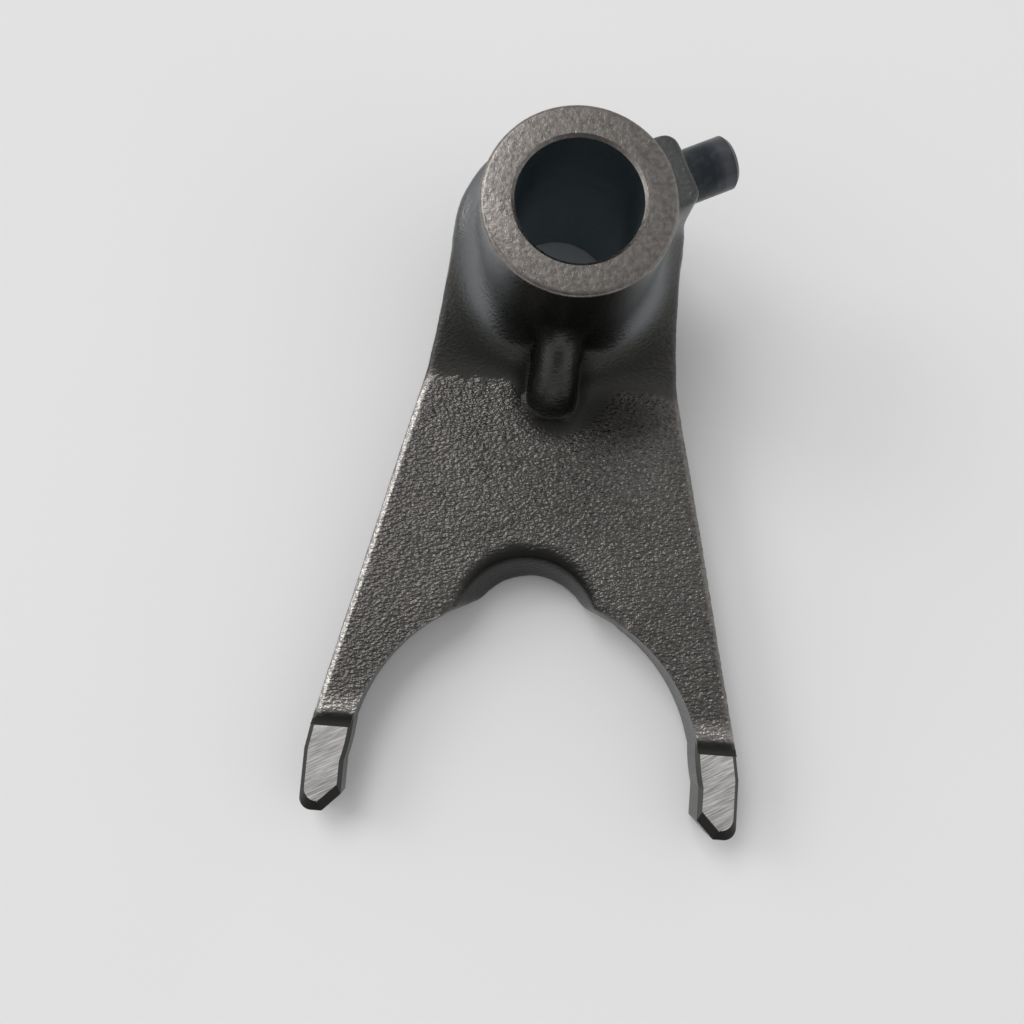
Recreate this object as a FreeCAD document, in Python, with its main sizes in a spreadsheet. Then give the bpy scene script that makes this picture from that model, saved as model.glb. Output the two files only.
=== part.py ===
# Shift fork of a small motorcycle gearbox: one steel casting with a bored hub that slides on its shaft,
# a round pin that runs in the track of the shift drum, and two claws that push the sliding gear.
# Millimetres. The bore axis is +Z, the hub's lower end face is z = 0 and the claws point to -Y.
import FreeCAD, Part
import Sketcher
import math
import os
import re

NODE = "shift_fork"
TOLERANCE = 0.02

SIZES = {
    # hub
    "bore_dia": 12.0,
    "bore_chamfer": 0.3,
    "hub_dia": 18.3,
    "hub_length": 25.4,
    "hub_edge_round": 0.45,
    "hub_root": 1.7,
    # blade, and the thick head round the hub with its ramp
    "blade_underside": 0.4,
    "blade_thickness": 5.6,
    "head_rise": 10.0,
    "head_land": 2.65,
    "ramp_toe": 3.25,
    "ramp_flare": 2.1,
    "ramp_slope": 1.19,
    "ramp_turn": 1.0,
    "ramp_bend": 5.0,
    "edge_round": 0.8,
    # turned arc between the prongs
    "arc_reach": 54.0,
    "arc_dia": 37.2,
    # crotch relief, left as cast above the turned arc
    "relief_depth": 2.1,
    "relief_width": 11.2,
    "relief_top_depth": 3.9,
    "relief_top_width": 15.2,
    "relief_top_shift": 0.9,
    "relief_round": 0.5,
    # claws, ground on both faces; leads and pasts are measured from the arc's centre
    "claw_thickness": 4.8,
    "claw_width": 4.2,
    "claw_flare": 0.6,
    "flare_lead": 1.0,
    "claw_past": 5.2,
    "tip_corner_in": 1.8,
    "tip_corner_out": 1.3,
    "pad_lead": 4.7,
    "pad_cutter": 2.0,
    "claw_bevel": 0.45,
    "tip_bevel": 1.0,
    # rib in front of the hub
    "rib_width": 5.4,
    "rib_over": 0.3,
    "rib_sink": 1.0,
    "rib_toe": 4.0,
    "rib_bulge": 16.5,
    "rib_crown": 1.7,
    "rib_root": 0.5,
    # pin for the drum track and the boss under it
    "pin_dia": 5.2,
    "pin_drop": 4.8,
    "pin_length": 4.9,
    "pin_angle": 27.0,
    "pin_chamfer": 0.4,
    "pin_root": 0.3,
    "boss_rim": 1.1,
    "boss_stand": 2.15,
    "boss_drop": 1.5,
    "boss_corner": 1.5,
    "boss_round": 0.6,
}

BLADE_TOP = "(blade_underside + blade_thickness)"
HEAD_TOP = f"({BLADE_TOP} + head_rise)"
HEAD_RADIUS = "(hub_dia / 2 + head_land)"
CREASE = "(hub_dia / 2 + ramp_toe)"
CREASE_HALF = f"({HEAD_RADIUS} + ramp_flare)"
RIB_REACH = f"({CREASE} + rib_toe)"
RIB_TOP = f"({HEAD_TOP} + rib_over)"
BOSS_HALF = "(pin_dia / 2 + boss_rim)"
BOSS_FACE = "(hub_dia / 2 + boss_stand)"
BOSS_TOP = "(hub_length - boss_drop)"
PIN_END = f"({BOSS_FACE} + pin_length)"

ARC_RADIUS = "(arc_dia / 2)"
ARC_TOP = f"(arc_reach - {ARC_RADIUS})"
PAD_START = "(arc_reach - pad_lead)"
CLAW_HALF = f"({ARC_RADIUS} + claw_width)"
PAD_HALF = f"({CLAW_HALF} - claw_flare)"
FLARE_END = "(arc_reach - flare_lead)"
CLAW_END = "(arc_reach + claw_past)"
PAD_DEPTH = "((blade_thickness - claw_thickness) / 2)"
PAD_TOP = f"({BLADE_TOP} - {PAD_DEPTH})"
PAD_BOTTOM = f"(blade_underside + {PAD_DEPTH})"
RUN_IN = f"sqrt(2 * pad_cutter * {PAD_DEPTH} - {PAD_DEPTH} * {PAD_DEPTH})"
RUN_END = f"({PAD_START} + {RUN_IN})"
RUN_END_HALF = f"({PAD_HALF} + claw_flare * {RUN_IN} / (pad_lead - flare_lead))"

STEEPEST = "sqrt(1 + ramp_slope * ramp_slope)"
TURN_HEIGHT = f"({HEAD_TOP} - ramp_bend * (1 - 1 / {STEEPEST}))"
RAMP_RUN = f"({CREASE} - ramp_turn)"
RAMP_RISE = f"({TURN_HEIGHT} - {BLADE_TOP})"
RAMP_HOLLOW = (f"(({RAMP_RUN} * {RAMP_RUN} + {RAMP_RISE} * {RAMP_RISE}) * {STEEPEST}"
               f" / (2 * (ramp_slope * {RAMP_RUN} - {RAMP_RISE})))")

doc = FreeCAD.newDocument("fork")


def make_sheet():
    sheet = doc.addObject("Spreadsheet::Sheet", "Sizes")
    for row, (alias, value) in enumerate(SIZES.items(), start=1):
        sheet.set(f"A{row}", alias)
        sheet.set(f"B{row}", str(value))
        sheet.setAlias(f"B{row}", alias)
    doc.recompute()
    return sheet


def make_body():
    body = doc.addObject("PartDesign::Body", NODE)
    body.Label = NODE
    doc.recompute()
    return body


sheet = make_sheet()
body = make_body()


# Sizes and expressions

def sized(expression):
    """The expression with each size name pointed at the sheet."""
    return re.sub(r"\b([a-z][a-z_]*)\b(?!\()", r"Sizes.\1", str(expression))


def number(expression):
    return float(sheet.evalExpression(sized(expression)))


def bind(feature, **expressions):
    for name, expression in expressions.items():
        feature.setExpression(name.replace("__", "."), sized(expression))


def arc_half_width(reach):
    """Half the gap between the prongs at this distance from the bore axis."""
    return f"sqrt({ARC_RADIUS} * {ARC_RADIUS} - (arc_reach - {reach}) * (arc_reach - {reach}))"


# Sketches

def origin_item(role):
    return next(item for item in body.Origin.OriginFeatures if item.Role == role)


def sketch_on(name, role, **offsets):
    """A sketch on one of the body's origin planes, moved by the given parts of its attachment offset."""
    sketch = body.newObject("Sketcher::SketchObject", name)
    sketch.AttachmentSupport = [(origin_item(role), "")]
    sketch.MapMode = "FlatFace"
    bind(sketch, **offsets)
    return sketch


def bound_constraint(sketch, expression, kind, *places):
    index = sketch.addConstraint(Sketcher.Constraint(kind, *places, number(expression)))
    sketch.setExpression(f"Constraints[{index}]", sized(expression))


def bend_middle(start, end, radius, side):
    """Middle of the short arc from start to end that bulges to the right (side 1) or left (side -1)."""
    chord = end - start
    half = chord.Length / 2
    rise = radius - math.sqrt(max(radius * radius - half * half, 0.0))
    right = FreeCAD.Vector(chord.y, -chord.x, 0).normalize()
    return (start + end) * 0.5 + right * (rise * side)


def outline(sketch, corners):
    """Closed outline. A corner is (x, y), or (x, y, radius, side) where the edge that leaves it is an arc."""
    points = [FreeCAD.Vector(number(c[0]), number(c[1]), 0) for c in corners]
    count = len(corners)
    ends = []
    for i, corner in enumerate(corners):
        start, end = points[i], points[(i + 1) % count]
        turns_right = len(corner) == 4 and corner[3] < 0
        ends.append((2, 1) if turns_right else (1, 2))
        if len(corner) == 4:
            middle = bend_middle(start, end, number(corner[2]), corner[3])
            arc = Part.Arc(end, middle, start) if turns_right else Part.Arc(start, middle, end)
            sketch.addGeometry(arc, False)
        else:
            sketch.addGeometry(Part.LineSegment(start, end), False)
    for i, corner in enumerate(corners):
        after = (i + 1) % count
        sketch.addConstraint(Sketcher.Constraint("Coincident", i, ends[i][1], after, ends[after][0]))
        bound_constraint(sketch, corner[0], "DistanceX", -1, 1, i, ends[i][0])
        bound_constraint(sketch, corner[1], "DistanceY", -1, 1, i, ends[i][0])
        if len(corner) == 4:
            bound_constraint(sketch, corner[2], "Radius", i)


def circle(sketch, radius):
    sketch.addGeometry(Part.Circle(FreeCAD.Vector(0, 0, 0), FreeCAD.Vector(0, 0, 1), number(radius)), False)
    sketch.addConstraint(Sketcher.Constraint("Coincident", 0, 3, -1, 1))
    bound_constraint(sketch, radius, "Radius", 0)


# Features

def feature(kind, name, profile=None, **expressions):
    made = body.newObject(f"PartDesign::{kind}", name)
    if profile is not None:
        made.Profile = (profile, [""])
    if hasattr(made, "Refine"):
        made.Refine = False
    bind(made, **expressions)
    return made


def cut_through(name, sketch):
    """A pocket through the whole part on both sides of its sketch, which has to take metal away."""
    doc.recompute()
    before = body.Tip.Shape.Volume
    made = feature("Pocket", name, sketch)
    made.Type = "ThroughAll"
    made.SideType = "Symmetric"
    doc.recompute()
    if made.Shape.Volume > before - TOLERANCE:
        raise RuntimeError(f"{name} takes nothing away")


def loft(kind, name, start, end):
    doc.recompute()
    made = feature(kind, name, start)
    made.Sections = [(end, [""])]
    made.Ruled = True
    doc.recompute()
    return made


def dress(kind, name, size, test):
    """Round or bevel the edges, of the solid so far, that pass the test."""
    doc.recompute()
    base = body.Tip
    names = [f"Edge{i}" for i, edge in enumerate(base.Shape.Edges, start=1) if test(edge, middle_of(edge))]
    if not names:
        raise RuntimeError(f"{name} finds no edge")
    made = feature(kind, name)
    made.Base = (base, names)
    bind(made, **{"Radius" if kind == "Fillet" else "Size": size})
    doc.recompute()


# Tests that pick edges

def middle_of(edge):
    return edge.valueAt((edge.FirstParameter + edge.LastParameter) / 2)


def near(value, target):
    return abs(value - number(target)) < TOLERANCE


def between(value, low, high):
    return number(low) + TOLERANCE < value < number(high) - TOLERANCE


def radius_of(point):
    return math.hypot(point.x, point.y)


def is_circle(edge):
    return edge.Curve.TypeId.endswith("Circle")


def along_pin(point):
    """Distance from the bore axis, measured along the pin."""
    angle = math.radians(number("pin_angle"))
    return point.x * math.cos(angle) + point.y * math.sin(angle)


def outside_at(y):
    """Half the width of the side walls, from the round back of the head to the pads."""
    radius = number(HEAD_RADIUS)
    if y > 0:
        return math.sqrt(max(radius * radius - y * y, 0.0))
    crease, crease_half = number(CREASE), number(CREASE_HALF)
    if -y < crease:
        return radius + (crease_half - radius) * -y / crease
    return crease_half + (number(PAD_HALF) - crease_half) * (-y - crease) / (number(PAD_START) - crease)


def on_side_wall(edge, middle):
    level = abs(edge.tangentAt((edge.FirstParameter + edge.LastParameter) / 2).z) < 0.9
    return level and abs(abs(middle.x) - outside_at(middle.y)) < TOLERANCE and middle.y > -number(PAD_START)


def is_top_edge(edge, middle):
    on_blade = near(middle.z, BLADE_TOP) and middle.y < -number(CREASE)
    return on_side_wall(edge, middle) and (on_blade or middle.z > number(BLADE_TOP) + TOLERANCE)


def is_under_edge(edge, middle):
    return on_side_wall(edge, middle) and near(middle.z, "blade_underside")


def is_hub_root(edge, middle):
    return near(radius_of(middle), "hub_dia / 2") and between(middle.z, BLADE_TOP, HEAD_TOP + " + 1")


def is_rib_crown(edge, middle):
    return is_circle(edge) and near(edge.Curve.Radius, "rib_bulge") and near(abs(middle.x), "rib_width / 2")


def is_rib_root(edge, middle):
    on_blade = near(middle.z, BLADE_TOP) and between(middle.y, f"-{RIB_REACH} - 1", f"-{CREASE} + 0.5")
    on_sides = near(abs(middle.x), "rib_width / 2") and between(middle.y, "-" + CREASE, "-hub_dia / 2 + 1")
    low = between(middle.z, BLADE_TOP + " - 1", RIB_TOP + " - 2")
    return abs(middle.x) < number("rib_width / 2 + 0.1") and (on_blade or on_sides) and low


def is_relief_mouth(edge, middle):
    inside = abs(middle.x) < number("relief_width / 4")
    on_edge = between(middle.y, "-" + ARC_TOP, f"-{ARC_TOP} + relief_top_depth + 1")
    return near(middle.z, BLADE_TOP) and inside and on_edge


def is_hub_rim(edge, middle):
    return near(middle.z, "hub_length") and near(radius_of(middle), "hub_dia / 2")


def is_boss_top(edge, middle):
    return near(middle.z, BOSS_TOP) and radius_of(middle) > number("hub_dia / 2") + TOLERANCE


def is_pin_root(edge, middle):
    return is_circle(edge) and near(along_pin(middle), BOSS_FACE) and near(edge.Curve.Radius, "pin_dia / 2")


def is_pin_end(edge, middle):
    return is_circle(edge) and near(along_pin(middle), PIN_END)


def is_bore_mouth(edge, middle):
    return is_circle(edge) and near(radius_of(middle), "bore_dia / 2")


# Blade and prongs

HEAD_CORNERS = [
    (CREASE_HALF, "-" + CREASE),
    (HEAD_RADIUS, "0", HEAD_RADIUS, 1),
    ("0", HEAD_RADIUS, HEAD_RADIUS, 1),
    ("-" + HEAD_RADIUS, "0"),
    ("-" + CREASE_HALF, "-" + CREASE),
]

PRONG_CORNERS = [
    ("-" + PAD_HALF, "-" + PAD_START),
    ("-" + RUN_END_HALF, "-" + RUN_END),
    ("-" + arc_half_width(RUN_END), "-" + RUN_END, ARC_RADIUS, -1),
    ("0", "-" + ARC_TOP, ARC_RADIUS, -1),
    (arc_half_width(RUN_END), "-" + RUN_END),
    (RUN_END_HALF, "-" + RUN_END),
    (PAD_HALF, "-" + PAD_START),
]


def add_blade():
    sketch = sketch_on("BladeOutline", "XY_Plane", AttachmentOffset__Base__z="blade_underside")
    outline(sketch, HEAD_CORNERS + PRONG_CORNERS)
    feature("Pad", "Blade", sketch, Length="blade_thickness")


def cut_run_in(name, pad, skin, side, beyond):
    """Hollow that the cutter leaves between the cast skin and a ground pad."""
    sketch = sketch_on(name + "Profile", "YZ_Plane")
    outline(sketch, [
        ("-" + PAD_START, skin, "pad_cutter", side),
        ("-" + RUN_END, pad),
        ("-" + RUN_END, f"{skin} {beyond}"),
        ("-" + PAD_START, f"{skin} {beyond}"),
    ])
    cut_through(name, sketch)


# Claws, with bevels that are larger round the tip

def claw_section(name, height, side_bevel, tip_bevel):
    """One claw's outline at a height, drawn in by the bevels that it has there."""
    sketch = sketch_on(name, "XY_Plane", AttachmentOffset__Base__z=height)
    inside = f"({ARC_RADIUS} + {side_bevel})"
    outside = f"({CLAW_HALF} - {side_bevel})"
    tip = f"(-{CLAW_END} + {tip_bevel})"
    outline(sketch, [
        (f"{PAD_HALF} - {side_bevel}", "-" + PAD_START),
        (f"{arc_half_width(PAD_START)} + {side_bevel}", "-" + PAD_START, ARC_RADIUS, 1),
        (inside, "-arc_reach"),
        (inside, f"{tip} + tip_corner_in"),
        (f"{inside} + tip_corner_in", tip),
        (f"{outside} - tip_corner_out", tip, "tip_corner_out", 1),
        (outside, f"{tip} + tip_corner_out"),
        (outside, "-" + FLARE_END),
    ])
    return sketch


def add_claws():
    low, high = f"{PAD_BOTTOM} + claw_bevel", f"{PAD_TOP} - claw_bevel"
    core = feature("Pad", "ClawCore", claw_section("ClawOutline", low, "0", "0"),
                   Length="claw_thickness - 2 * claw_bevel")
    top = loft("AdditiveLoft", "ClawTopBevel", claw_section("ClawTopEdge", high, "0", "0"),
               claw_section("ClawTopFace", PAD_TOP, "claw_bevel", "tip_bevel"))
    under = loft("AdditiveLoft", "ClawUnderBevel", claw_section("ClawUnderEdge", low, "0", "0"),
                 claw_section("ClawUnderFace", PAD_BOTTOM, "claw_bevel", "claw_bevel"))
    mirrored = body.newObject("PartDesign::Mirrored", "OtherClaw")
    mirrored.Originals = [core, top, under]
    mirrored.MirrorPlane = (origin_item("YZ_Plane"), [""])
    body.Tip = mirrored


# Head with its hollow ramp, and the hub

def add_head():
    sketch = sketch_on("HeadOutline", "XY_Plane", AttachmentOffset__Base__z="blade_underside")
    outline(sketch, HEAD_CORNERS)
    feature("Pad", "Head", sketch, Length=HEAD_TOP + " - blade_underside")


def cut_ramp():
    """Hollow that rises from the crease across the whole head and bends over into its top."""
    sketch = sketch_on("RampProfile", "YZ_Plane")
    outline(sketch, [
        ("-" + CREASE, BLADE_TOP, RAMP_HOLLOW, 1),
        ("-ramp_turn", TURN_HEIGHT, "ramp_bend", -1),
        (f"-ramp_turn + ramp_bend * ramp_slope / {STEEPEST}", HEAD_TOP),
        ("-" + CREASE, HEAD_TOP),
    ])
    cut_through("Ramp", sketch)


def add_hub():
    sketch = sketch_on("HubCircle", "XY_Plane")
    circle(sketch, "hub_dia / 2")
    feature("Pad", "Hub", sketch, Length="hub_length")


# Rib with a bulged back

def add_rib():
    sketch = sketch_on("RibProfile", "YZ_Plane")
    outline(sketch, [
        ("-" + RIB_REACH, BLADE_TOP, "rib_bulge", -1),
        ("-hub_dia / 2 + rib_sink", RIB_TOP),
        ("0", RIB_TOP),
        ("0", "blade_underside"),
        ("-" + RIB_REACH, "blade_underside"),
    ])
    rib = feature("Pad", "Rib", sketch, Length="rib_width")
    rib.SideType = "Symmetric"


# Pin, square to the bore, and the boss that carries it

def add_boss():
    sketch = sketch_on("BossOutline", "XY_Plane", AttachmentOffset__Base__z="blade_underside",
                       AttachmentOffset__Rotation__Angle="pin_angle")
    outline(sketch, [
        ("0", "-" + BOSS_HALF),
        (BOSS_FACE + " - boss_corner", "-" + BOSS_HALF, "boss_corner", 1),
        (BOSS_FACE, f"-{BOSS_HALF} + boss_corner"),
        (BOSS_FACE, BOSS_HALF + " - boss_corner", "boss_corner", 1),
        (BOSS_FACE + " - boss_corner", BOSS_HALF),
        ("0", BOSS_HALF),
    ])
    feature("Pad", "Boss", sketch, Length=BOSS_TOP + " - blade_underside")


def add_pin():
    sketch = sketch_on("PinCircle", "YZ_Plane")
    sketch.AttachmentOffset = FreeCAD.Placement(FreeCAD.Vector(), FreeCAD.Rotation(FreeCAD.Vector(0, 1, 0), 1))
    bind(sketch, AttachmentOffset__Base__y="hub_length - pin_drop", AttachmentOffset__Rotation__Angle="pin_angle")
    circle(sketch, "pin_dia / 2")
    feature("Pad", "Pin", sketch, Length=PIN_END)


# Crotch relief: a drafted hollow, wider and further left at the top

def relief_outline(name, height, depth, width, shift):
    sketch = sketch_on(name, "XY_Plane", AttachmentOffset__Base__z=height)
    half = f"({width} / 2)"
    corner = f"({half} + {shift})"
    foot = f"(-arc_reach + sqrt({ARC_RADIUS} * {ARC_RADIUS} - {corner} * {corner}))"
    rise = f"(-{ARC_TOP} + {depth} - {foot})"
    radius = f"({half} * {half} + {rise} * {rise}) / (2 * {rise})"
    outline(sketch, [
        (f"{half} - {shift}", foot, radius, 1),
        (f"-{half} - {shift}", foot),
        (f"-{half} - {shift}", "-arc_reach"),
        (f"{half} - {shift}", "-arc_reach"),
    ])
    return sketch


def cut_relief():
    loft("SubtractiveLoft", "Relief",
         relief_outline("ReliefFoot", "blade_underside", "relief_depth", "relief_width", "0"),
         relief_outline("ReliefMouth", BLADE_TOP, "relief_top_depth", "relief_top_width", "relief_top_shift"))


def cut_bore():
    sketch = sketch_on("BoreCircle", "XY_Plane")
    circle(sketch, "bore_dia / 2")
    cut_through("Bore", sketch)


def check():
    for item in doc.Objects:
        if "Invalid" in item.State or "Error" in item.State:
            raise RuntimeError(f"{item.Name} is {item.State}")
    shape = body.Shape
    if shape.isNull() or not shape.isValid() or len(shape.Solids) != 1:
        raise RuntimeError("the fork is not one valid solid")


add_blade()
cut_run_in("TopRunIn", PAD_TOP, BLADE_TOP, -1, "+ pad_cutter")
cut_run_in("BottomRunIn", PAD_BOTTOM, "blade_underside", 1, "- pad_cutter")
add_claws()
add_head()
cut_ramp()
dress("Fillet", "TopEdges", "edge_round", is_top_edge)
dress("Fillet", "UnderEdges", "edge_round", is_under_edge)
add_hub()
dress("Fillet", "HubRoot", "hub_root", is_hub_root)
add_rib()
dress("Fillet", "RibCrown", "rib_crown", is_rib_crown)
dress("Fillet", "RibRoot", "rib_root", is_rib_root)
add_boss()
add_pin()
cut_relief()
dress("Fillet", "ReliefMouth", "relief_round", is_relief_mouth)
dress("Fillet", "HubRim", "hub_edge_round", is_hub_rim)
dress("Fillet", "BossTop", "boss_round", is_boss_top)
dress("Fillet", "PinRoot", "pin_root", is_pin_root)
dress("Chamfer", "PinEnd", "pin_chamfer", is_pin_end)
cut_bore()
dress("Chamfer", "BoreMouths", "bore_chamfer", is_bore_mouth)
check()

os.makedirs("parts", exist_ok=True)
body.Shape.exportStep(f"parts/{NODE}.step")
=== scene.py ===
"""Shift fork of a motorcycle gearbox: one investment-cast steel fork with a bored hub, two ground claws
and a guide pin, lying on a pale table under soft window-like light."""

import math

import bmesh
import bpy
import numpy as np
from mathutils import Matrix, Vector, noise


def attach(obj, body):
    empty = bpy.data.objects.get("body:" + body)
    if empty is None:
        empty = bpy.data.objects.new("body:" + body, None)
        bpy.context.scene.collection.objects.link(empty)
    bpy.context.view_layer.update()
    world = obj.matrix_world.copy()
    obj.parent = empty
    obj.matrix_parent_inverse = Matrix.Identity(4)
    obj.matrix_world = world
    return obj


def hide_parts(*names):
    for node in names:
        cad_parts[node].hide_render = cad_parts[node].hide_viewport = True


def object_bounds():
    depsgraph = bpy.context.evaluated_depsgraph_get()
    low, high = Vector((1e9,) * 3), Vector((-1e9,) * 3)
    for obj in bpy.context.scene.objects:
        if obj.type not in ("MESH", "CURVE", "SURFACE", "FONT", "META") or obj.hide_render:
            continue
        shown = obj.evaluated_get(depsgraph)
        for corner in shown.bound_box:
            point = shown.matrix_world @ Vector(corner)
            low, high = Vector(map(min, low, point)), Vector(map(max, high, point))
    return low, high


bl_info = {
    "name": "Shift fork",
    "version": (1, 0, 0),
    "blender": (4, 5, 0),
    "location": "View3D > Sidebar > Shift fork",
    "description": "Cast shift fork with ground claws, a bored hub and a guide pin",
    "category": "Object",
}

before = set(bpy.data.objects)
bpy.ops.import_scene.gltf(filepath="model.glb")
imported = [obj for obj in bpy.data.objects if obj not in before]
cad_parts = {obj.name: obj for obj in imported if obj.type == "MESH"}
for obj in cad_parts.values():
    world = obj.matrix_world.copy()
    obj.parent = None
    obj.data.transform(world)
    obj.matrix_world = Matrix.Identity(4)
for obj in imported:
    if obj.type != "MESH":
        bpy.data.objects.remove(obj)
CAD_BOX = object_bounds()

MM = 0.001

# Landmarks of the fork, in millimetres of the part's frame: the bore is the Z axis, the claws point to -Y
BORE_RADIUS = 6.0
BORE_EDGE = 0.4
HUB_RADIUS = 9.15
HUB_TOP = 25.4
RIM_EDGE = 0.5
BLADE_TOP = 6.0
BLADE_UNDERSIDE = 0.4
CREASE_Y = -12.4
PAD_TOP = 5.6
PAD_UNDERSIDE = 0.8
PAD_START_Y = -49.3
PAD_GROUND_Y = -50.55
GRINDING_ANGLE = math.radians(29.0)
PIN_ANGLE = math.radians(27.0)
PIN_RADIUS = 2.6
BOSS_ROOT = 7.0
BOSS_REACH = 11.3
BOSS_HALF_WIDTH = 3.7
RIB_HALF_WIDTH = 2.7
RIB_FLARE = 1.9
RIB_TOE_Y = -17.5
RELIEF_X = -0.9
RELIEF_Y = -37.5
RELIEF_RADIUS = 7.4
CLAW_ARC_CENTRE_Y = -54.0
CLAW_ARC_RADIUS = 18.6
CLAW_ARC_END_Y = -38.0

# Profile of the head's top in the Y-Z plane: a hollow ramp, a bend and a flat; each arc is y, z, radius
HEAD_TOP = 16.0
RAMP_TURN_Y = -1.0
RAMP_END_Y = 2.83
HOLLOW_ARC = (-22.98, 32.69, 28.71)
BEND_ARC = (2.83, 11.0, 5.0)

# Oval zones seen from above: the centre's x and y, and the half widths along x and y, in millimetres
ROUND_THE_RIB = (1.3, -11.0, 5.6, 7.4)
# The rib's foot and the zone beside it are where painted shade darkens the skin
RIB_FOOT = (0.0, -13.0, 4.2, 5.0)
BESIDE_RIB_FOOT = (6.5, -15.5, 7.5, 4.6)

# Spacing of the noise lattice of the pebbles, in millimetres; the pebbles come out twice as far apart
PEBBLE_LATTICE = 0.4

# How far the borders between pebbled and smooth skin wander, and over what length, in millimetres
BORDER_WANDER = 0.45
BORDER_LENGTH = 1.1

# How far a face may lie from the height that tells it apart, in millimetres
SLACK = 0.03

# The cast skin's marks, which its material reads from the mesh; the last three are painted reflection,
# painted shade and painted highlight
SKIN_MARKS = ("grain", "crest", "painted_reflection", "painted_shade", "painted_highlight")

# The fork's middle, and the two windows: direction from it, distance and length of the sides, in metres
FORK_MIDDLE = Vector((0.0, -0.02, 0.0))
BACK_WINDOW = ((-0.35, 0.48, 0.8), 2.5, 1.1)
SIDE_WINDOW = ((-0.8, 0.28, 0.52), 2.5, 0.72)

# The finishes are the casting's material slots, in this order
CAST, FACED, BORED, GROUND, TURNED, SKIMMED = range(6)


def linear(hex_colour):
    """Linear RGBA of an sRGB hex colour."""
    channels = [int(hex_colour[i:i + 2], 16) / 255.0 for i in (1, 3, 5)]
    return [c / 12.92 if c <= 0.04045 else ((c + 0.055) / 1.055) ** 2.4 for c in channels] + [1.0]


def smooth_step(value, start, end):
    """0 before start, 1 after end, and a smooth rise between them."""
    t = min(max((value - start) / (end - start), 0.0), 1.0)
    return t * t * (3.0 - 2.0 * t)


# ------------------------------------------------------------------ materials

def add_node(tree, kind, inputs=None, **settings):
    """Adds a node; a socket given as an input's value is linked, any other value is set."""
    node = tree.nodes.new(kind)
    for name, value in settings.items():
        setattr(node, name, value)
    for name, value in (inputs or {}).items():
        if isinstance(value, bpy.types.NodeSocket):
            tree.links.new(value, node.inputs[name])
        else:
            node.inputs[name].default_value = value
    return node


def blend_colours(tree, factor, first, second, blend_type="MIX"):
    """Colour between two, which are sockets or sRGB hex colours."""
    mix = add_node(tree, "ShaderNodeMix", data_type="RGBA", blend_type=blend_type)
    for index, value in ((0, factor), (6, first), (7, second)):
        if isinstance(value, bpy.types.NodeSocket):
            tree.links.new(value, mix.inputs[index])
        else:
            mix.inputs[index].default_value = linear(value) if isinstance(value, str) else value
    return mix.outputs[2]


def map_range(tree, value, low, high, to_low, to_high):
    """Value moved from one range to another, clamped."""
    node = add_node(tree, "ShaderNodeMapRange", {
        "Value": value, "From Min": low, "From Max": high, "To Min": to_low, "To Max": to_high})
    return node.outputs["Result"]


def steel_noise(tree, coordinates, size_mm, detail=2.0, roughness=0.5, stretch=None, turn=0.0):
    """Noise whose patches are about size_mm wide, times stretch along each axis once those are turned."""
    if stretch:
        coordinates = add_node(tree, "ShaderNodeMapping", {
            "Vector": coordinates, "Rotation": (0.0, 0.0, turn), "Scale": stretch},
            vector_type="TEXTURE").outputs["Vector"]
    return add_node(tree, "ShaderNodeTexNoise", {
        "Vector": coordinates, "Scale": 1.0 / (size_mm * MM), "Detail": detail,
        "Roughness": roughness}).outputs["Fac"]


def new_steel(name, roughness):
    """An empty steel material: its tree, its shader and the piece's own coordinates."""
    material = bpy.data.materials.new(name)
    material.use_nodes = True
    tree = material.node_tree
    shader = tree.nodes["Principled BSDF"]
    shader.inputs["Metallic"].default_value = 1.0
    shader.inputs["Roughness"].default_value = roughness
    coordinates = add_node(tree, "ShaderNodeTexCoord").outputs["Object"]
    return material, tree, shader, coordinates


def add_bump(tree, shader, height, depth_mm):
    """Bump of a real depth on the shader."""
    bump = add_node(tree, "ShaderNodeBump", {"Height": height, "Distance": depth_mm * MM})
    tree.links.new(bump.outputs["Normal"], shader.inputs["Normal"])


def cast_steel(settings):
    """Investment-cast alloy steel, shot-blasted and oiled: a dark warm grey with a finely pebbled skin
    whose slopes glint and smooth dark oxide on the ramp; the hub's flanks are paler by a painted reflection,
    the blade's edges brighter by a painted highlight, and the hollows nearly black with painted shade."""
    material, tree, shader, place = new_steel("cast_steel_shot_blasted", 0.3)
    grain, crest, painted_reflection, painted_shade, painted_highlight = [
        add_node(tree, "ShaderNodeAttribute", attribute_name=name).outputs["Fac"] for name in SKIN_MARKS]
    pebbles = steel_noise(tree, place, 0.3, 1.5, 0.5, stretch=(1.5, 1.0, 1.0), turn=math.radians(12.0))
    cloud = steel_noise(tree, place, 7.0, 3.0, 0.5)
    skin = blend_colours(tree, crest, settings.pit_colour_hex, settings.crest_colour_hex)
    skin = blend_colours(tree, map_range(tree, cloud, 0.35, 0.7, 0.0, 0.25), skin, "#8E8A86", "MULTIPLY")
    # painted reflection: paler colour on the hub's flanks
    smooth = blend_colours(tree, painted_reflection, settings.oxide_colour_hex, settings.painted_reflection_colour_hex)
    # painted highlight: bright colour on the blade's edges and the lip before each pad
    unshaded_skin = blend_colours(tree, painted_highlight, blend_colours(tree, grain, smooth, skin), settings.painted_highlight_colour_hex)
    # painted shade: near-black colour in the relief, at the rib's foot and beside it
    tree.links.new(blend_colours(tree, map_range(tree, painted_shade, 0.0, 1.0, 0.0, 0.85), unshaded_skin, "#1F1F1E"),
                   shader.inputs["Base Color"])
    relief = add_node(tree, "ShaderNodeMath", {0: pebbles, 1: map_range(tree, grain, 0.0, 1.0, 0.06, 1.0)},
                      operation="MULTIPLY").outputs["Value"]
    add_bump(tree, shader, relief, 0.3)
    return material


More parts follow.
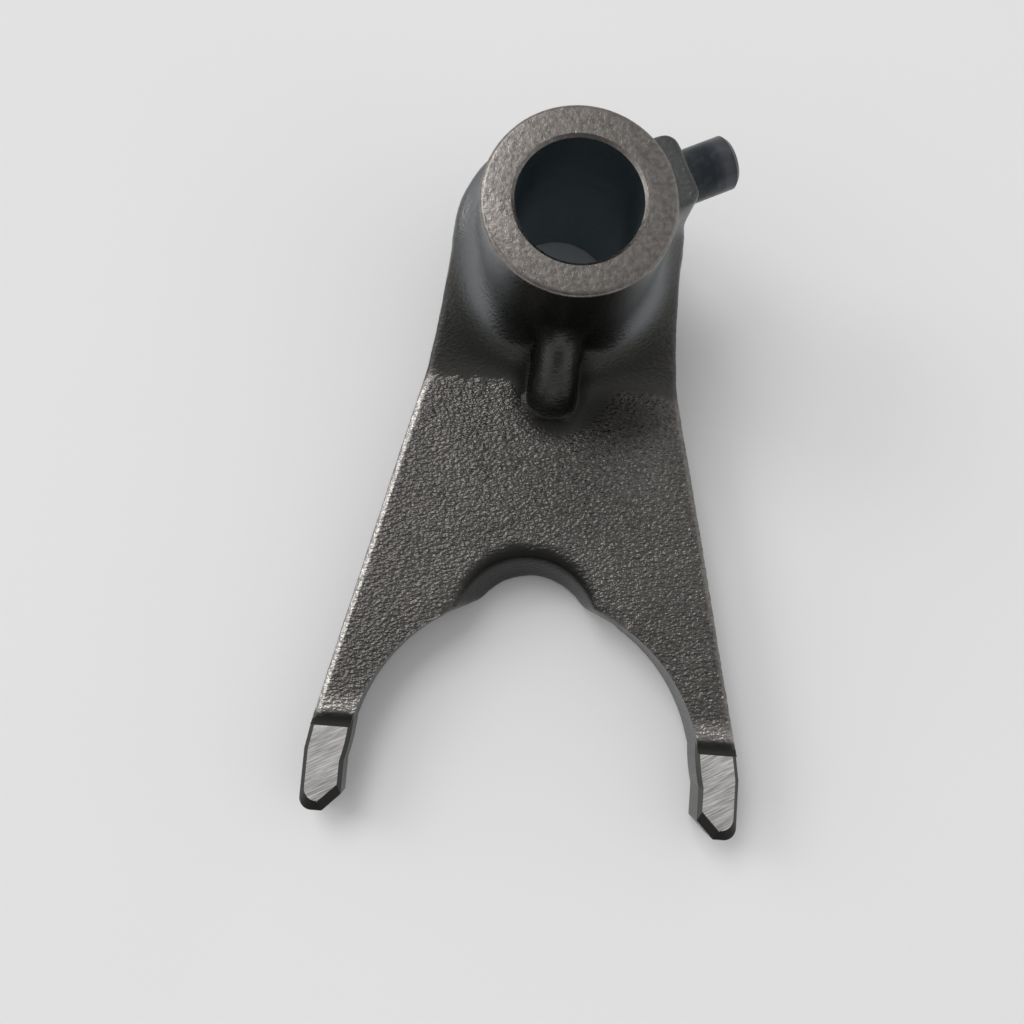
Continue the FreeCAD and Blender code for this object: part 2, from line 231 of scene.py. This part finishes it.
def faced_steel():
    """Steel faced flat, then tumbled and handled: worn pinkish-brown grey with fine pits and a few nicks."""
    material, tree, shader, place = new_steel("faced_steel_worn", 0.4)
    pits = steel_noise(tree, place, 0.5, 4.0, 0.65)
    drag = steel_noise(tree, place, 0.35, 2.0, 0.5, stretch=(1.0, 4.0, 1.0), turn=0.5)
    tone = blend_colours(tree, map_range(tree, pits, 0.35, 0.65, 0.0, 1.0), "#6B6764", "#86817D")
    tree.links.new(tone, shader.inputs["Base Color"])
    tree.links.new(map_range(tree, drag, 0.3, 0.7, 0.24, 0.34), shader.inputs["Roughness"])
    add_bump(tree, shader, pits, 0.05)
    return material


def bored_steel():
    """Steel bored for the shift shaft: oily, with faint tool rings; the bore's depth makes it look dark."""
    material, tree, shader, place = new_steel("bored_steel_oiled", 0.35)
    rings = steel_noise(tree, place, 0.3, 2.0, 0.5, stretch=(20.0, 20.0, 1.0))
    tree.links.new(blend_colours(tree, rings, "#87939A", "#9AA6AC"), shader.inputs["Base Color"])
    add_bump(tree, shader, rings, 0.01)
    return material


def ground_steel():
    """Hardened steel ground bright on a coarse wheel: light grey with diagonal grinding lines."""
    material, tree, shader, place = new_steel("ground_steel_bright", 0.34)
    lines = steel_noise(tree, place, 0.16, 3.0, 0.6, stretch=(16.0, 1.0, 1.0), turn=GRINDING_ANGLE)
    broad = steel_noise(tree, place, 0.7, 2.0, 0.5, stretch=(6.0, 1.0, 1.0), turn=GRINDING_ANGLE)
    tone = blend_colours(tree, map_range(tree, lines, 0.38, 0.62, 0.0, 1.0), "#B9B7B6", "#FAF8F6")
    tone = blend_colours(tree, map_range(tree, broad, 0.35, 0.65, 0.0, 0.5), tone, "#B4B2B3", "MULTIPLY")
    tree.links.new(tone, shader.inputs["Base Color"])
    tree.links.new(map_range(tree, lines, 0.3, 0.7, 0.42, 0.28), shader.inputs["Roughness"])
    add_bump(tree, shader, lines, 0.012)
    return material


def turned_steel():
    """Turned and blackened steel of the guide pin: smooth and dark with a polished band round its middle."""
    material, tree, shader, place = new_steel("turned_steel_blackened", 0.33)
    bands = steel_noise(tree, place, 1.8, 1.0, 0.5, stretch=(1.0, 25.0, 25.0), turn=PIN_ANGLE)
    scuffs = steel_noise(tree, place, 1.1, 3.0, 0.55)
    tone = blend_colours(tree, map_range(tree, bands, 0.35, 0.65, 0.0, 1.0), "#34383D", "#505358")
    tone = blend_colours(tree, map_range(tree, scuffs, 0.5, 0.7, 0.0, 0.3), tone, "#6F6662")
    tree.links.new(tone, shader.inputs["Base Color"])
    add_bump(tree, shader, scuffs, 0.01)
    return material


def skimmed_steel():
    """Steel of the claws' inner arc, milled to size: smooth mid grey with faint cutter lines across it."""
    material, tree, shader, place = new_steel("skimmed_steel_claw_arc", 0.38)
    lines = steel_noise(tree, place, 0.25, 2.0, 0.5, stretch=(1.0, 1.0, 12.0))
    tree.links.new(blend_colours(tree, lines, "#4C4D4D", "#7A7B7B"), shader.inputs["Base Color"])
    add_bump(tree, shader, lines, 0.008)
    return material


def painted_table(settings):
    """Table top in matt off-white paint."""
    material = bpy.data.materials.new("matt_white_paint")
    material.use_nodes = True
    tree = material.node_tree
    shader = tree.nodes["Principled BSDF"]
    place = add_node(tree, "ShaderNodeTexCoord").outputs["Object"]
    mottle = steel_noise(tree, place, 60.0, 2.0, 0.5)
    tree.links.new(blend_colours(tree, mottle, settings.table_hex, "#EAEAEA"), shader.inputs["Base Color"])
    shader.inputs["Roughness"].default_value = 0.85
    shader.inputs["Specular IOR Level"].default_value = 0.1
    return material


# ------------------------------------------------------------------ casting

def from_pin(x, y):
    """How far a point lies out along the guide pin's axis, and how far to one side of it."""
    return (x * math.cos(PIN_ANGLE) + y * math.sin(PIN_ANGLE),
            abs(y * math.cos(PIN_ANGLE) - x * math.sin(PIN_ANGLE)))


def from_centre(x, y, zone):
    """How far a point lies from an oval zone's centre, where 1 is the zone's border."""
    centre_x, centre_y, half_x, half_y = zone
    return math.hypot((x - centre_x) / half_x, (y - centre_y) / half_y)


def from_relief(x, y):
    """How far a point lies outside the border of the round relief between the claws, in millimetres."""
    return math.hypot(x - RELIEF_X, y - RELIEF_Y) - RELIEF_RADIUS


def finish_of(face):
    """Which finish a face of the casting has, from where it lies."""
    x, y, z = (c / MM for c in face.calc_center_median())
    reach = math.hypot(x, y)
    up = face.normal.z
    in_bore = reach < BORE_RADIUS + BORE_EDGE
    if in_bore and abs(up) < 0.5:
        return BORED
    under_hub = z < 0.05 and up < -0.9 and reach < HUB_RADIUS
    if z > HUB_TOP - RIM_EDGE or under_hub or in_bore:
        return FACED
    along_pin, across_pin = from_pin(x, y)
    if along_pin > BOSS_REACH + 0.02 and across_pin < PIN_RADIUS + 0.6:
        return TURNED
    on_pad = min(abs(z - PAD_TOP), abs(z - PAD_UNDERSIDE)) < SLACK
    if y < PAD_GROUND_Y and on_pad and abs(up) > 0.9:
        return GROUND
    arc_reach = math.hypot(x, y - CLAW_ARC_CENTRE_Y)
    if y < CLAW_ARC_END_Y and abs(up) < 0.1 and arc_reach < CLAW_ARC_RADIUS + 0.1:
        return SKIMMED
    return CAST


def cut_by_planes(bm, faces, axis, first, last, size):
    """Cuts faces by the planes number first to last along one axis, the middle plane first, so that
    each cut only meets the faces near it. Edges and corners keep the faces' order in every run."""
    if first > last or not faces:
        return
    middle = (first + last) // 2
    at = middle * size
    normal = Vector([1.0 if i == axis else 0.0 for i in range(3)])
    edges = list(dict.fromkeys(edge for face in faces for edge in face.edges))
    corners = list(dict.fromkeys(vert for face in faces for vert in face.verts))
    made = bmesh.ops.bisect_plane(bm, geom=list(faces) + edges + corners, dist=0.02 * MM,
                                  plane_co=normal * at, plane_no=normal)
    pieces = [g for g in made["geom"] if isinstance(g, bmesh.types.BMFace)]
    below = [f for f in pieces if min(v.co[axis] for v in f.verts) < at - size * 0.5]
    above = [f for f in pieces if max(v.co[axis] for v in f.verts) > at + size * 0.5]
    cut_by_planes(bm, below, axis, first, middle - 1, size)
    cut_by_planes(bm, above, axis, middle + 1, last, size)


def finely_divided(bm, size):
    """Divides the cast skin into cells of one size; the machined faces keep their own."""
    bmesh.ops.dissolve_limit(bm, angle_limit=math.radians(0.1), use_dissolve_boundaries=False,
                             verts=bm.verts[:], edges=bm.edges[:], delimit={"MATERIAL"})
    for axis in range(3):
        faces = [f for f in bm.faces if f.material_index == CAST]
        low = min(v.co[axis] for f in faces for v in f.verts)
        high = max(v.co[axis] for f in faces for v in f.verts)
        cut_by_planes(bm, faces, axis, math.ceil(low / size), math.floor(high / size), size)
    bmesh.ops.triangulate(bm, faces=bm.faces[:], quad_method="BEAUTY", ngon_method="BEAUTY")
    bmesh.ops.dissolve_degenerate(bm, dist=0.004 * MM, edges=bm.edges[:])
    bmesh.ops.triangulate(bm, faces=[f for f in bm.faces if len(f.verts) > 3])


def head_height(y):
    """Height of the head's top surface, without its blends, at a distance from the bore axis."""
    if y < CREASE_Y:
        return BLADE_TOP
    if y < RAMP_TURN_Y:
        centre_y, centre_z, radius = HOLLOW_ARC
        return centre_z - math.sqrt(radius ** 2 - (y - centre_y) ** 2)
    if y < RAMP_END_Y:
        centre_y, centre_z, radius = BEND_ARC
        return centre_z + math.sqrt(radius ** 2 - (y - centre_y) ** 2)
    return HEAD_TOP


def grain_at(point):
    """How strongly the skin is pebbled at a point of the casting, in millimetres: 1 on the blade's two
    sides, less on its edges, and little on the ramp, hub and relief and round the rib, whose mould was
    smooth."""
    x, y, z = point
    y += BORDER_WANDER * noise.noise(Vector(point) / BORDER_LENGTH)
    if z < BLADE_UNDERSIDE + 0.3:
        return smooth_step(y, PAD_START_Y, PAD_START_Y + 1.0)
    on_blade = 1.0 - smooth_step(y, CREASE_Y - 0.9, CREASE_Y + 0.2)
    rib_clear = smooth_step(from_centre(x, y, ROUND_THE_RIB), 0.8, 1.15)
    relief_clear = smooth_step(from_relief(x, y), -0.8, 0.8)
    claw_clear = smooth_step(y, PAD_START_Y - 0.2, PAD_START_Y + 0.5)
    walls = 0.35 + 0.65 * smooth_step(z, BLADE_TOP - 1.6, BLADE_TOP - 0.5)
    on_land = 0.1 + 0.12 * smooth_step(abs(x), 9.0, 11.5)
    return max(on_blade * rib_clear * relief_clear * claw_clear * walls, on_land * claw_clear)


def flow_into_head(point, radius):
    """Where a point of the hub or head goes when a wide round blend of this radius joins the two; the
    point is in millimetres. The rib and the pin's boss only rise out of the blend."""
    x, y, z = point
    reach = math.hypot(x, y)
    floor = head_height(y)
    out, above = reach - HUB_RADIUS, z - floor
    if out > radius or above > radius or above < -2.0 or out < -0.05:
        return point
    along_pin, across_pin = from_pin(x, y)
    on_rib = y < -HUB_RADIUS + 0.5 and abs(x) < RIB_HALF_WIDTH + 0.2 and out > 0.1 and above > 0.05
    on_boss = along_pin > BOSS_ROOT and across_pin < BOSS_HALF_WIDTH + 0.1 and out > 0.05
    blend_height = radius - math.sqrt(max(radius ** 2 - (radius - max(out, 0.0)) ** 2, 0.0))
    if on_rib or on_boss:
        return (x, y, max(z, floor + blend_height))
    if above < 0.0:
        return (x, y, z + blend_height * (1.0 + above / 2.0))
    turn = math.pi / 4.0 * (1.0 + (above - max(out, 0.0)) / radius)
    new_reach = HUB_RADIUS + radius * (1.0 - math.sin(turn))
    new_floor = head_height(y * new_reach / reach)
    return (x * new_reach / reach, y * new_reach / reach, new_floor + radius * (1.0 - math.cos(turn)))


def painted_reflection_at(point):
    """How much painted reflection makes the hub's two flanks pale at a point in millimetres, from 0 to 1."""
    x, y, z = point
    reach = math.hypot(x, y)
    flank = smooth_step(abs(x) / max(reach, 0.1), 0.35, 0.8) * smooth_step(y, -12.5, -5.0)
    beside_pin = 1.0 - 0.6 * smooth_step(from_pin(x, y)[0], BOSS_ROOT, BOSS_ROOT + 2.0)
    return flank * beside_pin * (1.0 - smooth_step(reach, 9.9, 12.4)) * smooth_step(z, 7.0, 11.0)


def painted_shade_at(point):
    """How much painted shade darkens a point in millimetres, from 0 to 1: in the relief between the claws,
    at the rib's foot and beside it."""
    x, y, z = point
    relief = 1.0 - smooth_step(from_relief(x, y), -1.0, 1.0)
    foot = 1.0 - smooth_step(from_centre(x, y, RIB_FOOT), 0.7, 1.3)
    foot *= max(smooth_step(abs(x), 1.2, 2.6), smooth_step(y, -15.8, -16.6))
    beside = 1.0 - smooth_step(from_centre(x, y, BESIDE_RIB_FOOT), 0.2, 1.1)
    on_top = smooth_step(z, 3.0, 4.0)
    return max(relief, max(foot, 0.8 * beside) * on_top)


def painted_highlight_at(point, normal):
    """How much a point, in millimetres, is brightened by painted highlight, from 0 to 1: on the blade's left
    edge, less on its right one, and on the lip before each pad."""
    x, y, z = point
    if z < BLADE_TOP - 1.2 or abs(x) < 6.0:
        return 0.0
    outward = normal.x * math.copysign(1.0, x)
    edge = smooth_step(outward, 0.08, 0.3) * (1.0 - smooth_step(outward, 0.75, 0.95))
    edge *= (1.0 if x < 0.0 else 0.2) * smooth_step(y, CREASE_Y + 0.5, CREASE_Y - 2.5)
    lip = smooth_step(y, PAD_START_Y + 2.6, PAD_START_Y + 0.8)
    return max(edge, 0.6 * lip) * smooth_step(y, PAD_START_Y, PAD_START_Y + 0.5)


def crowned_rib(point):
    """Where a point of the rib goes when its top is rounded across and its upper end narrowed; the point
    is in millimetres."""
    x, y, z = point
    reach = math.hypot(x, y)
    if abs(x) > RIB_HALF_WIDTH + RIB_FLARE or not RIB_TOE_Y < y < 0.0 or reach < HUB_RADIUS + 0.02:
        return point
    beside_rib = 1.0 - smooth_step(abs(x), RIB_HALF_WIDTH, RIB_HALF_WIDTH + RIB_FLARE)
    narrow = 0.14 * smooth_step(y, -HUB_RADIUS - 5.5, -HUB_RADIUS) * beside_rib
    above = max(z - head_height(y), 0.0)
    crown = 0.5 * min((x / RIB_HALF_WIDTH) ** 2, 1.0) * smooth_step(reach, HUB_RADIUS, HUB_RADIUS + 1.0)
    return (x * (1.0 - narrow), y, z - above * crown)


def pebbled(point):
    """Height of the blasted skin at a point in millimetres, from -1 to 1: pebbles about 0.8 mm apart."""
    return noise.noise(Vector(point) / PEBBLE_LATTICE)


def softness_at(point):
    """How far the mould's soft corners melt the shape at a point, from 0 on the claws and the hub's rim to
    1 where the hub and rib flow into the head."""
    x, y, z = point
    on_head = smooth_step(y, -20.0, -16.5) * smooth_step(z, 1.2, 3.0)
    on_head *= 1.0 - 0.5 * smooth_step(math.hypot(x, min(y, 0.0) * 0.3), 10.6, 11.6)
    below_rim = 1.0 - smooth_step(z, 21.5, 24.0)
    return max(on_head * below_rim, 0.25 * smooth_step(y, -50.5, -48.5) * below_rim)


def is_cast(vert):
    """Whether a vertex lies within the cast skin."""
    return all(face.material_index == CAST for face in vert.link_faces)


def melt(bm, rounds):
    """Moves each vertex of the cast skin towards its neighbours' middle, as far as its softness says."""
    points = np.array([v.co for v in bm.verts])
    ends = np.array([[v.index for v in e.verts] for e in bm.edges])
    weight = np.array([softness_at([c / MM for c in v.co]) if is_cast(v) else 0.0 for v in bm.verts])
    weight = weight[:, None]
    both = np.concatenate([ends, ends[:, ::-1]])
    count = np.bincount(both[:, 0], minlength=len(points))[:, None]
    for _ in range(rounds):
        total = np.stack([np.bincount(both[:, 0], points[both[:, 1], i], minlength=len(points))
                          for i in range(3)], axis=1)
        points += 0.5 * weight * (total / count - points)
    for vert, point in zip(bm.verts, points):
        vert.co = point


def round_the_mould(bm, settings):
    """Blends hub, rib and head into each other and eases the mould's corners."""
    bm.verts.index_update()
    for vert in bm.verts:
        if vert.co.z > (BLADE_TOP - 0.2) * MM and is_cast(vert):
            point = crowned_rib([c / MM for c in vert.co])
            vert.co = Vector(flow_into_head(point, settings.blend_radius / MM)) * MM
    melt(bm, settings.melt_rounds)
    bm.normal_update()


def shade_softly(bm):
    """Smooth shading, with sharp edges on the claws and round the machined faces."""
    for edge in bm.edges:
        cast = all(face.material_index == CAST for face in edge.link_faces)
        crisp = not cast or edge.verts[0].co.y < PAD_START_Y * MM
        edge.smooth = not crisp or edge.calc_face_angle(0.0) < math.radians(28.0)
    for face in bm.faces:
        face.smooth = True


def blast_the_skin(bm, settings):
    """Raises the pebbles, no further than the part's own box, and notes each vertex's skin marks."""
    layers = [bm.verts.layers.float.new(name) for name in SKIN_MARKS]
    low, high = CAD_BOX
    moved = []
    for vert in bm.verts:
        point = [c / MM for c in vert.co]
        height = pebbled(point)
        grain = grain_at(point)
        crest = min(max(0.5 + 0.9 * height, 0.0), 1.0)
        marks = (grain, crest, painted_reflection_at(point), painted_shade_at(point), painted_highlight_at(point, vert.normal))
        for layer, mark in zip(layers, marks):
            vert[layer] = mark
        step = (height - 0.3) * settings.pebble_height * grain if is_cast(vert) else 0.0
        target = vert.co + vert.normal * step
        moved.append(Vector([min(max(target[i], low[i]), high[i]) for i in range(3)]))
    for vert, target in zip(bm.verts, moved):
        vert.co = target
    bm.normal_update()


def build_casting(settings):
    """The whole fork as one mesh: the frame's own surface, finely divided, with the blasted skin raised."""
    mesh = bpy.data.meshes.new("fork_casting")
    bm = bmesh.new()
    bm.from_mesh(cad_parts["shift_fork"].data)
    bmesh.ops.remove_doubles(bm, verts=bm.verts[:], dist=0.001 * MM)
    bmesh.ops.bisect_plane(bm, geom=bm.faces[:] + bm.edges[:] + bm.verts[:], dist=0.001 * MM,
                           plane_co=(0.0, PAD_GROUND_Y * MM, 0.0), plane_no=(0.0, 1.0, 0.0))
    bm.normal_update()
    for face in bm.faces:
        face.material_index = finish_of(face)
    finely_divided(bm, settings.cell_size)
    round_the_mould(bm, settings)
    shade_softly(bm)
    blast_the_skin(bm, settings)
    bm.to_mesh(mesh)
    bm.free()
    for material in (cast_steel(settings), faced_steel(), bored_steel(), ground_steel(), turned_steel(),
                     skimmed_steel()):
        mesh.materials.append(material)
    casting = bpy.data.objects.new("fork_casting", mesh)
    bpy.context.scene.collection.objects.link(casting)
    return casting


# ------------------------------------------------------------------ stage

def build_table(settings):
    """The table top that the fork lies on."""
    half = settings.table_size / 2.0
    mesh = bpy.data.meshes.new("table_top")
    mesh.from_pydata([(-half, -half, 0.0), (half, -half, 0.0), (half, half, 0.0), (-half, half, 0.0)], [],
                     [(0, 1, 2, 3)])
    mesh.materials.append(painted_table(settings))
    table = bpy.data.objects.new("table_top", mesh)
    table.location.z = CAD_BOX[0].z - 0.02 * MM
    bpy.context.scene.collection.objects.link(table)


def add_window(name, direction, distance, size, power):
    """A soft square light that faces the fork's middle from a direction."""
    light = bpy.data.lights.new(name, "AREA")
    light.shape = "SQUARE"
    light.size = size
    light.energy = power
    lamp = bpy.data.objects.new(name, light)
    lamp.location = FORK_MIDDLE + Vector(direction).normalized() * distance
    lamp.rotation_euler = (FORK_MIDDLE - lamp.location).to_track_quat("-Z", "Y").to_euler()
    bpy.context.scene.collection.objects.link(lamp)


def light_the_room(settings):
    """Soft room light: a plain ceiling that is dim in front, and pale walls, the left one the brightest;
    low down all of them are pale, so that the background is plain from every side."""
    world = bpy.data.worlds.new("room")
    bpy.context.scene.world = world
    world.use_nodes = True
    tree = world.node_tree
    direction = add_node(tree, "ShaderNodeTexCoord").outputs["Generated"]
    across, away, height = add_node(tree, "ShaderNodeSeparateXYZ", {"Vector": direction}).outputs
    side = add_node(tree, "ShaderNodeMath", {
        0: map_range(tree, across, -0.3, -0.9, 0.15, 1.0), 1: map_range(tree, across, 0.3, 0.9, 0.15, 0.35)},
        operation="MAXIMUM").outputs["Value"]
    walls = map_range(tree, height, 0.9, 0.35, 0.0, settings.wall_strength)
    for level in (side, map_range(tree, away, -0.8, 0.0, 0.0, 1.0)):
        walls = add_node(tree, "ShaderNodeMath", {0: walls, 1: level}, operation="MULTIPLY").outputs["Value"]
    ceiling = map_range(tree, away, -0.95, -0.35, 0.25 * settings.ceiling_strength, settings.ceiling_strength)
    room = add_node(tree, "ShaderNodeMath", {0: walls, 1: ceiling}, operation="ADD").outputs["Value"]
    skirting = map_range(tree, height, 0.34, 0.16, 0.0, settings.skirting_strength)
    strength = add_node(tree, "ShaderNodeMath", {0: room, 1: skirting}, operation="MAXIMUM")
    tree.links.new(strength.outputs["Value"], tree.nodes["Background"].inputs["Strength"])
    tree.nodes["Background"].inputs["Color"].default_value = linear("#FFFFFF")


def add_camera():
    """The camera at the photograph's viewing angle, with the photograph's field of view."""
    data = bpy.data.cameras.new("camera")
    data.sensor_width = 36.0
    data.lens = 34.925
    data.clip_start = 0.005
    camera = bpy.data.objects.new("camera", data)
    right = (0.9959589, 0.0794400, 0.0418954)
    up = (-0.0838271, 0.9896829, 0.1161931)
    back = (-0.0322328, -0.1192355, 0.9923426)
    place = (-0.0066912, -0.0393724, 0.1112519)
    camera.matrix_world = Matrix([(right[i], up[i], back[i], place[i]) for i in range(3)]
                                 + [(0.0, 0.0, 0.0, 1.0)])
    bpy.context.scene.collection.objects.link(camera)
    bpy.context.scene.camera = camera


# ------------------------------------------------------------------ add-on

class ForkCastingSettings(bpy.types.PropertyGroup):
    """Sizes and colours of the casting."""
    cell_size: bpy.props.FloatProperty(
        name="Skin cell", description="Width of the cells that the cast skin is divided into",
        default=0.33 * MM, min=0.1 * MM, unit="LENGTH", precision=5)
    melt_rounds: bpy.props.IntProperty(
        name="Melt rounds", description="How often the cast skin is eased towards soft mould corners",
        default=150, min=0)
    blend_radius: bpy.props.FloatProperty(
        name="Hub blend", description="Radius of the blend between hub and head",
        default=5.0 * MM, min=1.7 * MM, unit="LENGTH", precision=5)
    pebble_height: bpy.props.FloatProperty(
        name="Pebble height", description="Height of the blasted skin's pebbles",
        default=0.055 * MM, min=0.0, unit="LENGTH", precision=5)
    pit_colour_hex: bpy.props.StringProperty(
        name="Pit colour", description="sRGB hex colour of the skin's hollows", default="#565452")
    crest_colour_hex: bpy.props.StringProperty(
        name="Crest colour", description="sRGB hex colour of the skin's crests", default="#706D6A")
    oxide_colour_hex: bpy.props.StringProperty(
        name="Oxide colour", description="sRGB hex colour of the smooth cast skin", default="#454543")
    # The highlight colour is a painted highlight on the blade's edges
    painted_highlight_colour_hex: bpy.props.StringProperty(
        name="Highlight colour", description="sRGB hex colour of the painted highlight on the blade's edges", default="#B4B0AC")
    # The flank colour is a painted reflection on the hub's flanks
    painted_reflection_colour_hex: bpy.props.StringProperty(
        name="Flank reflection colour", description="sRGB hex colour of the painted reflection on the hub's flanks", default="#787B7E")


class ForkStageSettings(bpy.types.PropertyGroup):
    """Table and light."""
    table_size: bpy.props.FloatProperty(
        name="Table size", description="Length of the table's sides", default=40.0, min=0.3, unit="LENGTH")
    table_hex: bpy.props.StringProperty(
        name="Table colour", description="sRGB hex colour of the table's paint", default="#EEEEEE")
    ceiling_strength: bpy.props.FloatProperty(
        name="Ceiling light", description="Strength of the light from overhead", default=0.5, min=0.0)
    wall_strength: bpy.props.FloatProperty(
        name="Wall light", description="Strength of the light from the side walls", default=1.25, min=0.0)
    skirting_strength: bpy.props.FloatProperty(
        name="Background", description="Least strength of the walls near the table's height", default=0.65,
        min=0.0)
    window_power: bpy.props.FloatProperty(
        name="Back window light", description="Power of the high light from the back, in watts", default=18.0,
        min=0.0, subtype="POWER")
    side_window_power: bpy.props.FloatProperty(
        name="Side window light", description="Power of the low light from the left, in watts", default=8.5,
        min=0.0, subtype="POWER")


class FORK_OT_stage(bpy.types.Operator):
    """Adds the table, the soft light and the camera"""
    bl_idname = "fork.add_stage"
    bl_label = "Add stage"

    def execute(self, context):
        settings = context.scene.fork_stage
        build_table(settings)
        light_the_room(settings)
        add_window("back_window", *BACK_WINDOW, settings.window_power)
        add_window("side_window", *SIDE_WINDOW, settings.side_window_power)
        add_camera()
        return {"FINISHED"}


class FORK_OT_casting(bpy.types.Operator):
    """Builds the cast fork and gives each of its faces its finish"""
    bl_idname = "fork.add_casting"
    bl_label = "Add fork casting"

    def execute(self, context):
        casting = build_casting(context.scene.fork_casting)
        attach(casting, "root")
        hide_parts("shift_fork")
        return {"FINISHED"}


class FORK_PT_panel(bpy.types.Panel):
    """Lists the fork's sizes, colours and steps"""
    bl_label = "Shift fork"
    bl_idname = "FORK_PT_panel"
    bl_space_type = "VIEW_3D"
    bl_region_type = "UI"
    bl_category = "Shift fork"

    def draw(self, context):
        for settings, operator in ((context.scene.fork_casting, FORK_OT_casting),
                                   (context.scene.fork_stage, FORK_OT_stage)):
            box = self.layout.box()
            for name in settings.bl_rna.properties.keys():
                if name not in ("name", "rna_type"):
                    box.prop(settings, name)
            box.operator(operator.bl_idname)


CLASSES = (ForkCastingSettings, ForkStageSettings, FORK_OT_casting, FORK_OT_stage, FORK_PT_panel)


def register():
    for cls in CLASSES:
        bpy.utils.register_class(cls)
    bpy.types.Scene.fork_casting = bpy.props.PointerProperty(type=ForkCastingSettings)
    bpy.types.Scene.fork_stage = bpy.props.PointerProperty(type=ForkStageSettings)


def unregister():
    del bpy.types.Scene.fork_casting
    del bpy.types.Scene.fork_stage
    for cls in reversed(CLASSES):
        bpy.utils.unregister_class(cls)


def main():
    """Builds everything in order."""
    register()
    view = bpy.context.scene.view_settings
    view.view_transform = "Standard"
    bpy.ops.fork.add_casting()
    bpy.ops.fork.add_stage()


if __name__ == "__main__":
    main()
